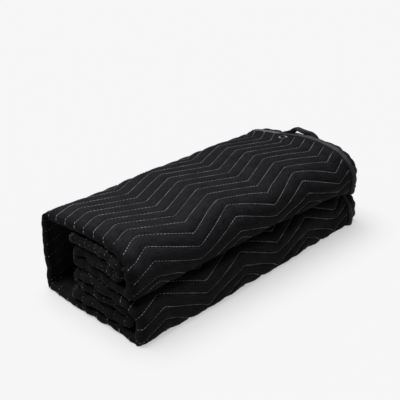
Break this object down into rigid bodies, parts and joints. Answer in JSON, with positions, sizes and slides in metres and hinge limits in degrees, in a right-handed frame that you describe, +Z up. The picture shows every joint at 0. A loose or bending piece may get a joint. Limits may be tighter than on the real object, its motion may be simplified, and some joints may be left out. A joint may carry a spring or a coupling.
{
  "type": "folded sound dampening blanket",
  "caption": "Quilted sound dampening blanket with a bound edge, an eyelet and a hanging loop, folded into a flat package.",
  "frame": {"origin": "centre of the package's box, on the surface it rests on", "axes": "+X along the package to the bound edge, +Y to the fold's spine, +Z up"},
  "size_m": [0.6292, 0.2692, 0.18],
  "materials": {
    "quilted_fabric": "matte woven, zigzag quilted in grey thread",
    "woven_tape": "matte ribbed tape",
    "plated_metal": "nickel plated"
  },
  "bodies": {
    "root": {"blanket": "quilted_fabric", "eyelet_band": "quilted_fabric", "edge_binding": "woven_tape", "eyelet": "plated_metal", "hanging_loop": "woven_tape"}
  },
  "joints": []
}
